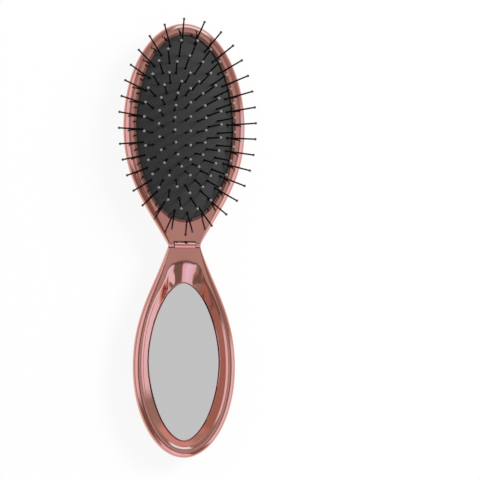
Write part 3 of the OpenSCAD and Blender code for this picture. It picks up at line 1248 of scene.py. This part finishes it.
@dataclass
class Handle:
    """The handle: shell, front frame with its dish and barrel, and the mirror."""

    hinge: Hinge
    shell: Shell
    form: Form = Form(97.6, 23.7, 56.0, 7.3, 0.33)
    glass_side: float = 7.4
    glass_start: float = 17.1
    glass_end: float = 7.9
    glass_t: float = 1.4
    tape_t: float = 0.4
    dish_depth: float = 4.0
    dish_start: float = 7.8
    arch_half: float = 8.3
    arch_run: float = 4.2
    arch_round: float = 0.38
    arch_lead: float = 1.8
    dish_rate: float = 0.5
    dish_lead: float = 12.0
    dish_belly: float = 0.62
    dish_wall: float = 1.0
    tray_out: float = 1.5
    land_w: float = 0.85
    lip_w: float = 1.4
    lip_far: float = 2.3  # its width at the far end
    far_power: int = 4  # how late it widens on the way there
    glass_gap: float = 0.44
    glass_shift: float = 0.2  # how far to the right the glass lies in its seat
    neck_power: float = 1.77
    tip_power: float = 1.82
    side_steps: int = 150
    arch_steps: int = 26
    round_steps: int = 4
    lip_steps: int = 9
    roll_lead: float = 3.3  # how far before its edge the arch starts to roll over
    roll_w: float = 5.13
    roll_turn: float = 20.0
    roll_span: Flat = (4.5, 10.0)  # half widths between which the roll narrows to the lip
    roll_fade: float = 2.0  # length past the start of the turn in which it does so too
    flank_turn: float = 14.0
    flank_span: Flat = (7.0, 13.0)  # half widths between which its turn eases to the flank's
    meet_span: Flat = (3.5, 6.5)  # half widths between which a foot appears beside the glass
    turn_start: float = 8.0  # how far into the dish the lip starts to turn further
    turn_fade: float = 12.0
    slope_steps: int = 24
    fan: Flat = (6.0, 16.0)  # half widths between which the slope turns from the arch to the flanks
    wall_turns: Flat = (35.0, 41.5)  # turn of the wall round the glass, on the left and the right
    wall_near: Flat = (38.0, 42.0)  # the same beside the arch
    wall_end: float = 37.5
    wall_spans: tuple[Flat, Flat] = ((24.0, 32.0), (82.0, 88.0))  # distances between which it changes
    cross: float = 4.0  # half width of the change from left to right
    foot_fall: float = 8.0  # fall of its foot, where the wall alone is too low
    blend: float = 0.25  # rounding of the creases between them
    arris: float = 0.2
    shaded_edge_rise: float = 0.5  # faces of the glass whose normals rise less than this are its ground edge, which takes the painted shade

    @property
    def glass_z(self) -> float:
        """Height of the front of the glass."""
        return self.shell.depth - self.dish_depth

    @property
    def glass_length(self) -> float:
        """Length of the glass."""
        return self.form.length - self.glass_start - self.glass_end

    @property
    def glass_middle(self) -> float:
        """Distance of the middle of the glass from the hinge."""
        return self.glass_start + self.glass_length / 2

    def glass(self, grow: float) -> list[Flat]:
        """Closed outline of the glass.

        Args:
            grow: length that it is grown by.

        Returns:
            The outline.
        """
        half_width = self.form.half_width - self.glass_side + grow
        half_length = self.glass_length / 2 + grow
        side = []
        for i in range(self.side_steps + 1):
            a = math.pi * i / self.side_steps
            power = self.neck_power if 2 * i < self.side_steps else self.tip_power
            along = math.copysign(abs(math.cos(a)) ** (2 / power), math.cos(a))
            side.append(
                (self.glass_middle - half_length * along, half_width * abs(math.sin(a)) ** (2 / power))
            )
        side[0] = (side[0][0], 0.0)
        side[-1] = (side[-1][0], 0.0)
        return closed(side)

    def dish(self, d: float) -> list[Flat]:
        """Closed edge of the dish: its arch, its flank and its end.

        Args:
            d: length that it is drawn in by from the land.

        Returns:
            The edge.
        """
        half = self.form.half_width - self.shell.shoulder_w - self.land_w - d
        start = self.dish_start + d
        end = self.form.length - self.shell.shoulder_w - self.land_w / 2 - d
        peak, rate = self.form.peak, self.dish_rate
        knee = (start + self.arch_run, self.arch_half - d * (math.hypot(1, rate) - rate))

        def past_knee(run: float) -> Flat:
            """Point on the line through the knee."""
            return (knee[0] + run, knee[1] + run * rate)

        arch = [(start, 0), (start, knee[1] * self.arch_round), past_knee(-self.arch_lead), knee]
        flank = [knee, past_knee(self.dish_lead), (peak * self.dish_belly, half), (peak, half)]
        middle = self.side_steps // 2
        side = bezier(arch, self.arch_steps) + bezier(flank, middle - self.arch_steps)
        for a in sweep(math.pi / 2, middle):
            side.append((peak + (end - peak) * math.sin(a), half * max(math.cos(a), 0)))
        return closed(side)

    def lip(self, edge: Flat) -> tuple[list[Flat], float]:
        """Lip of the dish at a point of its edge: a tight one, or a wide roll on the arch.

        Args:
            edge: the point of the edge.

        Returns:
            The way in from the edge and the fall of its points, and its fall in mm a mm at the foot.
        """
        x, into = edge[0], edge[1] - self.dish_start
        narrow = max(through(abs(x), self.roll_span), eased((into - self.turn_start) / self.roll_fade))
        further = eased((into - self.turn_start) / self.turn_fade)
        lead = self.roll_lead * (1 - narrow)
        far = through(edge[1], (self.form.peak, self.form.length)) ** self.far_power
        lip_w = self.lip_w + (self.lip_far - self.lip_w) * far
        width = self.roll_w + (lip_w - self.roll_w) * narrow
        turn = self.roll_turn + (self.flank_turn - self.roll_turn) * through(abs(x), self.flank_span)
        turn = math.radians(turn + (self.wall_turn(edge) - turn) * further)
        radius = width / math.sin(turn)
        steps = [(-lead - HEM, 0.0)]
        for a in sweep(turn, self.lip_steps):
            steps.append((radius * math.sin(a) - lead, radius * (1 - math.cos(a))))
        return steps, math.tan(turn)

    def wall_turn(self, p: Flat) -> float:
        """Turn of the wall round the glass.

        Args:
            p: a point beside it.

        Returns:
            The turn in degrees.
        """
        past, far = (through(p[1], span) for span in self.wall_spans)
        left, right = (near + (flank - near) * past for near, flank in zip(self.wall_near, self.wall_turns))
        turn = left + (right - left) * eased((p[0] / self.cross + 1) / 2)
        return turn + (self.wall_end - turn) * far

    def slope(self, run: float, drop: float, fall: float, wall_fall: float) -> list[Flat]:
        """Slope from the foot of the lip to the glass: a ramp, then the wall, then its steeper foot.

        Args:
            run: distance from the foot of the lip to the glass.
            drop: height of the foot of the lip over the glass.
            fall: fall of the ramp, in mm a mm.
            wall_fall: fall of the wall, in mm a mm.

        Returns:
            The distance from the glass and the height over it of its points.
        """
        fall = min(fall, drop / run)
        lift = max(drop - wall_fall * run, 0.0)
        points = []
        for i in range(1, self.slope_steps + 1):
            out = run * (1 - i / self.slope_steps)
            height = drop - fall * (run - out)
            for line in (lift + wall_fall * out, self.foot_fall * out):
                meet = max(1 - abs(height - line) / self.blend, 0)
                height = min(height, line) - meet * meet * self.blend / 4
            points.append((out, max(height, 0.0)))
        return points

    def ways(self, seat: Sequence[Flat]) -> list[Flat]:
        """Ways that the slope runs up from the glass: straight to the arch, and square to the flanks.

        Args:
            seat: outline of the glass's seat.

        Returns:
            A unit vector for each of its points.
        """
        ways = []
        for (x, along), (nx, ny) in zip(seat, outward(seat, self.glass_middle)):
            turn = math.atan2(nx, -ny) * (through(abs(x), self.fan) if along < self.glass_middle else 1)
            ways.append((math.sin(turn), -math.cos(turn)))
        return ways

    def column(self, seat: Flat, way: Flat, upright: float, rim: Sequence[Flat]) -> list[Point]:
        """Points from the land over the lip of the dish and down the slope to the glass.

        Args:
            seat: point of the glass's seat.
            way: the way up from it.
            upright: how square that way is to the glass, from 0 to 1.
            rim: the edge of the dish.

        Returns:
            The points, outermost first.
        """
        edge, square = met(rim, seat, way)
        steps, fall = self.lip(edge)
        lead = -steps[1][0]
        reach = math.dist(edge, seat) + lead
        top = self.shell.depth
        line = [(reach - (d + lead) / square, top - z) for d, z in steps]
        run, foot = line[-1]
        wall_fall = math.tan(math.radians(self.wall_turn(seat)))
        drop = foot - self.glass_z
        apart = max(through(abs(seat[0]), self.meet_span), eased(edge[1] / self.glass_middle))
        fall *= square / upright
        fall += (drop / (run * upright) - fall) * (1 - apart)
        for out, z in self.slope(run * upright, drop, fall, wall_fall):
            line.append((out / upright, self.glass_z + z))
        return [(seat[0] + way[0] * out, seat[1] + way[1] * out, z) for out, z in line]

    def front_frame(self) -> bpy.types.Object:
        """Makes the front frame: the land, the dish and its tray, and the barrel of the hinge.

        Returns:
            The frame.
        """
        shell, hinge = self.shell, self.hinge
        floor = self.glass_z - self.glass_t - self.tape_t
        seat, rim = self.glass(self.glass_gap), self.dish(0)
        ways = self.ways(seat)
        uprights = [w[0] * n[0] + w[1] * n[1] for w, n in zip(ways, outward(seat, self.glass_middle))]
        under = matched(self.dish(self.lip_w - self.dish_wall), seat, ways)
        columns = [self.column(p, way, upright, rim) for p, way, upright in zip(seat, ways, uprights)]
        piece = Piece("handle_frame", Half.HANDLE, hinge)
        piece.loft(
            [
                level(self.glass(self.glass_gap + self.dish_wall), floor - self.dish_wall),
                level(self.glass(self.glass_gap + self.tray_out), self.glass_z - self.dish_wall),
                level(under, shell.depth - shell.plate_t),
                *shell.front_edge(self.form, 0.0, seat, ways, self.round_steps),
                *(list(ring) for ring in zip(*columns)),
                level(seat, floor),
            ]
        )
        piece.trim(shell.butt)
        made = piece.finish()
        carve(made, hinge, hinge.knuckle_r + hinge.turn_gap, hinge.cut_len, Carving.CUT)
        carve(made, hinge, hinge.barrel_r, hinge.barrel_len, Carving.JOIN)
        carve(made, hinge, hinge.pin_r + hinge.pin_play, hinge.cut_len, Carving.CUT)
        PLATED_ROSE.dress(made)
        return made

    def mirror(self) -> bpy.types.Object:
        """Makes the mirror, with a narrow arris and a ground edge darkened as painted shade.

        Returns:
            The mirror.
        """
        corner = ((0.0, self.glass_t), (0.0, self.arris), (-self.arris, 0.0), (-self.arris - HEM, 0.0))
        rings = []
        for grow, drop in corner:
            rings.append([(x + self.glass_shift, y, self.glass_z - drop) for x, y in self.glass(grow)])
        piece = Piece("mirror_glass", Half.HANDLE, self.hinge)
        piece.loft(rings)
        made = piece.finish()
        SILVERED_GLASS.dress(made)
        # The ground edge takes a painted shade of the gap round the glass
        made.data.materials.append(GROUND_EDGE_SHADE.material())
        for face in made.data.polygons:
            if abs(face.normal.z) < self.shaded_edge_rise:
                face.material_index = 1
        return made

    def build(self) -> None:
        """Makes the handle's pieces and fastens them to the frame."""
        shell = self.shell.build("handle_shell", Half.HANDLE, self.form)
        fasten(shell, "handle", "handle_back_shell")
        fasten(self.front_frame(), "handle", "handle_front_frame")
        fasten(self.mirror(), "handle", "mirror")


def fasten(piece: bpy.types.Object, body: str, node: str) -> None:
    """Makes a piece stand for a node of the frame and ride on its body.

    Args:
        piece: the piece.
        body: name of the body.
        node: name of the node.
    """
    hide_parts(node)
    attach(piece, body)
    log.info("%s stands for %s", piece.name, node)


@dataclass
class InnerParts:
    """Parts of the frame that keep their own shape and take a finish."""

    finishes: dict[str, Finish] = field(
        default_factory=lambda: {
            "cushion_retainer": INNER_RESIN,
            "hinge_pin": PIN_STEEL,
            "hinge_washers": PIN_STEEL,
            "mirror_tape": PAD_FOAM,
        }
    )

    def dress(self) -> None:
        """Gives each of the parts its finish."""
        for name, finish in self.finishes.items():
            node = frame["nodes"][name]
            material = finish.material()
            for slot in node.material_slots:
                slot.material = material
            log.info("%s takes %s", name, finish.name)


# ---------- Studio ----------


@dataclass(frozen=True)
class Panel:
    """A stretch of the studio's round wall, between two bearings, and its light."""

    start: float
    end: float
    light: tuple[float, float, float]


@dataclass
class Studio:
    """Plain studio: a white floor, one soft lamp, and a round of panels for the plating to mirror."""

    strongest: float = 2.7
    ceiling: tuple[float, float, float] = (0.6, 0.592, 0.6)
    ceiling_rim: tuple[float, float, float] = (0.12, 0.12, 0.11)
    panels: tuple[Panel, ...] = (
        Panel(-180, -172, (1.1, 1.25, 1.5)),
        Panel(-164, -142, (0.24, 0.21, 0.19)),
        Panel(-137, -130, (0.42, 0.43, 0.41)),
        Panel(-126, -112, (1.1, 1.2, 1.5)),
        Panel(-105, -92, (1.12, 1.4, 2.05)),
        Panel(-84, -68, (1.1, 1.18, 1.45)),
        Panel(-64, -38, (0.26, 0.25, 0.23)),
        Panel(-33, 9, (1.12, 1.38, 1.7)),
        Panel(14, 44, (0.42, 0.43, 0.41)),
        Panel(50, 92, (1.15, 2.05, 2.45)),
        Panel(97, 142, (0.42, 0.43, 0.41)),
        Panel(150, 180, (1.1, 1.25, 1.5)),
    )
    ceiling_middle: Flat = (0.156, 0.069)
    ceiling_across: float = 0.4
    ceiling_along: float = 0.58
    ceiling_even: float = 0.47
    ceiling_dark: float = 0.74
    ceiling_end: float = 0.96
    low_panels: tuple[Panel, ...] = (
        Panel(-180, -150, (0.48, 0.33, 0.28)),
        Panel(-143, 5, (0.95, 0.48, 0.31)),
        Panel(25, 125, (0.86, 0.66, 0.64)),
        Panel(140, 180, (0.48, 0.33, 0.28)),
    )
    low_top: float = 0.11
    low_end: float = 0.17
    low_left: float = 0.2  # how much higher the low panels reach on the left
    low_far: float = 0.17  # and past the head
    fill: float = 0.48
    key_share: float = 0.57
    key_bearing: float = 28.0
    key_height: float = 42.0
    key_distance: float = 3.0
    key_size: float = 1.38
    floor_size: float = 6.0
    floor_colour: str = "FCFCFC"
    shadow_share: float = 0.1

    def ramp_colour(self, light: tuple[float, float, float]) -> Colour:
        """Light of a panel as a share of the strongest."""
        r, g, b = (min(c / self.strongest, 1.0) for c in light)
        return (r, g, b, 1.0)

    def stops(self, panels: Sequence[Panel]) -> list[tuple[float, Colour]]:
        """Stops of a colour ramp that runs once round the panels."""
        return [((edge + 180) / 360, self.ramp_colour(p.light)) for p in panels for edge in (p.start, p.end)]

    def wall(self, tree: bpy.types.NodeTree, split: bpy.types.Node) -> bpy.types.Node:
        """Colours round the wall: panels, and low ones that reach higher on the left and past the head.

        Args:
            tree: the world's node tree.
            split: node with the three parts of a ray's direction.

        Returns:
            The node that mixes both rows of panels.
        """
        x, y, height = (split.outputs[axis] for axis in "XYZ")
        bearing = add_node(tree, "ShaderNodeMath", {"operation": "ARCTAN2"}, {0: y, 1: x})
        turn = add_node(
            tree, "ShaderNodeMapRange", inputs={"Value": bearing, "From Min": -math.pi, "From Max": math.pi}
        )
        rows = []
        for panels in (self.low_panels, self.panels):
            row = add_node(tree, "ShaderNodeValToRGB", inputs={0: turn})
            set_ramp(row, self.stops(panels))
            rows.append(row)
        for along, side, reach in ((x, "MINIMUM", self.low_left), (y, "MAXIMUM", self.low_far)):
            part = add_node(tree, "ShaderNodeMath", {"operation": side}, {0: along, 1: 0.0})
            square = add_node(tree, "ShaderNodeMath", {"operation": "MULTIPLY"}, {0: part, 1: part})
            rise = add_node(tree, "ShaderNodeMath", {"operation": "MULTIPLY"}, {0: square, 1: reach})
            height = add_node(tree, "ShaderNodeMath", {"operation": "SUBTRACT"}, {0: height, 1: rise})
        over = add_node(
            tree,
            "ShaderNodeMapRange",
            inputs={"Value": height, "From Min": self.low_top, "From Max": self.low_end},
        )
        return add_node(
            tree, "ShaderNodeMix", {"data_type": "RGBA"}, {"Factor": over, MIX_A: rows[0], MIX_B: rows[1]}
        )

    def lid(self, tree: bpy.types.NodeTree, split: bpy.types.Node) -> tuple[bpy.types.Node, bpy.types.Node]:
        """Colours of the ceiling: an even oval, and a darker rim round it.

        Args:
            tree: the world's node tree.
            split: node with the three parts of a ray's direction.

        Returns:
            The ceiling's colour, and the share by which the wall takes over from it.
        """
        squares = []
        for axis, middle, size in zip("XY", self.ceiling_middle, (self.ceiling_across, self.ceiling_along)):
            along = split.outputs[axis]
            moved = add_node(tree, "ShaderNodeMath", {"operation": "SUBTRACT"}, {0: along, 1: middle})
            share = add_node(tree, "ShaderNodeMath", {"operation": "DIVIDE"}, {0: moved, 1: size})
            squares.append(add_node(tree, "ShaderNodeMath", {"operation": "POWER"}, {0: share, 1: 2.0}))
        total = add_node(tree, "ShaderNodeMath", {"operation": "ADD"}, {0: squares[0], 1: squares[1]})
        away = add_node(tree, "ShaderNodeMath", {"operation": "SQRT"}, {0: total})
        height = split.outputs["Z"]
        below = add_node(tree, "ShaderNodeMath", {"operation": "LESS_THAN"}, {0: height, 1: 0.0})
        out = add_node(tree, "ShaderNodeMath", {"operation": "ADD"}, {0: away, 1: below})
        colour = add_node(tree, "ShaderNodeValToRGB", inputs={0: out})
        lights = ((self.ceiling_even, self.ceiling), (self.ceiling_dark, self.ceiling_rim))
        set_ramp(colour, [(place, self.ramp_colour(light)) for place, light in lights])
        border = add_node(
            tree,
            "ShaderNodeMapRange",
            inputs={"Value": out, "From Min": self.ceiling_dark, "From Max": self.ceiling_end},
        )
        return colour, border

    def world(self) -> None:
        """Builds the world: white to the camera, wall and ceiling to gloss, and even fill to the rest."""
        world = bpy.data.worlds.new("studio")
        bpy.context.scene.world = world
        world.use_nodes = True
        tree = world.node_tree
        tree.nodes.clear()
        place = add_node(tree, "ShaderNodeTexCoord").outputs["Generated"]
        split = add_node(tree, "ShaderNodeSeparateXYZ", inputs={0: place})
        colour, border = self.lid(tree, split)
        wall = self.wall(tree, split).outputs[MIX_OUT]
        seen = add_node(
            tree, "ShaderNodeMix", {"data_type": "RGBA"}, {"Factor": border, MIX_A: colour, MIX_B: wall}
        )
        room = add_node(
            tree,
            "ShaderNodeBackground",
            inputs={"Color": seen.outputs[MIX_OUT], "Strength": self.strongest},
        )
        light = add_node(tree, "ShaderNodeBackground", inputs={"Color": WHITE, "Strength": self.fill})
        white = add_node(tree, "ShaderNodeBackground", inputs={"Color": WHITE, "Strength": 1.0})
        rays = add_node(tree, "ShaderNodeLightPath").outputs
        for ray, other in (("Is Glossy Ray", room), ("Is Camera Ray", white)):
            light = add_node(tree, "ShaderNodeMixShader", inputs={0: rays[ray], 1: light, 2: other})
        add_node(tree, "ShaderNodeOutputWorld", inputs={"Surface": light})

    def floor(self) -> None:
        """Lays a white floor that keeps a share of the shadow."""
        data = bpy.data.meshes.new("floor")
        half = self.floor_size / 2
        corners = [(-half, -half, 0), (half, -half, 0), (half, half, 0), (-half, half, 0)]
        data.from_pydata(corners, [], [(0, 1, 2, 3)])
        made = bpy.data.objects.new("floor", data)
        bpy.context.scene.collection.objects.link(made)
        material = bpy.data.materials.new("studio_floor")
        material.use_nodes = True
        tree = material.node_tree
        tree.nodes.clear()
        matt = add_node(tree, "ShaderNodeBsdfDiffuse", inputs={"Color": srgb(self.floor_colour)})
        glow = add_node(tree, "ShaderNodeEmission", inputs={"Color": WHITE, "Strength": 1.0})
        rays = add_node(tree, "ShaderNodeLightPath").outputs
        seen = rays["Is Camera Ray"]
        for ray in ("Is Glossy Ray", "Is Transmission Ray"):
            seen = add_node(tree, "ShaderNodeMath", {"operation": "MAXIMUM"}, {0: seen, 1: rays[ray]})
        share = add_node(
            tree, "ShaderNodeMath", {"operation": "MULTIPLY"}, {0: seen, 1: 1 - self.shadow_share}
        )
        mixed = add_node(tree, "ShaderNodeMixShader", inputs={0: share, 1: matt, 2: glow})
        add_node(tree, "ShaderNodeOutputMaterial", inputs={"Surface": mixed})
        data.materials.append(material)

    def key(self) -> None:
        """Hangs one soft round lamp at the upper right, which the plating doesn't mirror."""
        data = bpy.data.lights.new("key", "AREA")
        data.shape = "DISK"
        data.size = self.key_size
        bearing, height = math.radians(self.key_bearing), math.radians(self.key_height)
        way = Vector(
            (math.cos(bearing) * math.cos(height), math.sin(bearing) * math.cos(height), math.sin(height))
        )
        data.energy = self.key_share * math.pi**2 * self.key_distance**2 / math.sin(height)
        lamp = bpy.data.objects.new("key", data)
        lamp.location = way * self.key_distance
        lamp.rotation_mode = "QUATERNION"
        lamp.rotation_quaternion = way.to_track_quat("Z", "Y")
        lamp.visible_glossy = False
        bpy.context.scene.collection.objects.link(lamp)

    def build(self) -> None:
        """Sets up the floor, the lamp and the world."""
        self.world()
        self.floor()
        self.key()
        bpy.context.scene.view_settings.view_transform = "Standard"


@dataclass
class LongLens:
    """Camera with a long lens, nearly square to the front of the brush."""

    hinge: Hinge
    frame_px: float = 480.0
    mm_per_px: float = 0.4593
    hinge_px: Flat = (184.8, 245.1)
    lean_left: float = 9.0
    lean_down: float = 4.0
    lens: float = 500.0
    sensor: float = 36.0

    def build(self) -> None:
        """Puts the camera where the hinge falls on its place in the frame."""
        back = Vector(
            (-math.tan(math.radians(self.lean_left)), -math.tan(math.radians(self.lean_down)), 1)
        ).normalized()
        up = (Vector((0, 1, 0)) - back * back.y).normalized()
        right = up.cross(back)
        across = (self.frame_px / 2 - self.hinge_px[0]) * self.mm_per_px
        rise = (self.hinge_px[1] - self.frame_px / 2) * self.mm_per_px
        target = self.hinge.place(Half.HEAD, (0, 0, self.hinge.z)) + (right * across + up * rise) * MM
        distance = self.frame_px * self.mm_per_px * MM * self.lens / self.sensor
        data = bpy.data.cameras.new("camera")
        data.lens = self.lens
        data.sensor_width = self.sensor
        camera = bpy.data.objects.new("camera", data)
        turn = Matrix((right, up, back)).transposed().to_4x4()
        camera.matrix_world = Matrix.Translation(target + back * distance) @ turn
        bpy.context.scene.collection.objects.link(camera)
        bpy.context.scene.camera = camera


def main() -> None:
    """Builds the brush, piece by piece, and the studio round it."""
    logging.basicConfig(level=logging.INFO, format="%(message)s")
    hinge = Hinge.from_record(frame["record"])
    LongLens(hinge).build()
    Studio().build()
    Head(hinge, Shell(hinge, shoulder_w=2.7)).build()
    Handle(hinge, Shell(hinge)).build()
    InnerParts().dress()


if __name__ == "__main__":
    main()
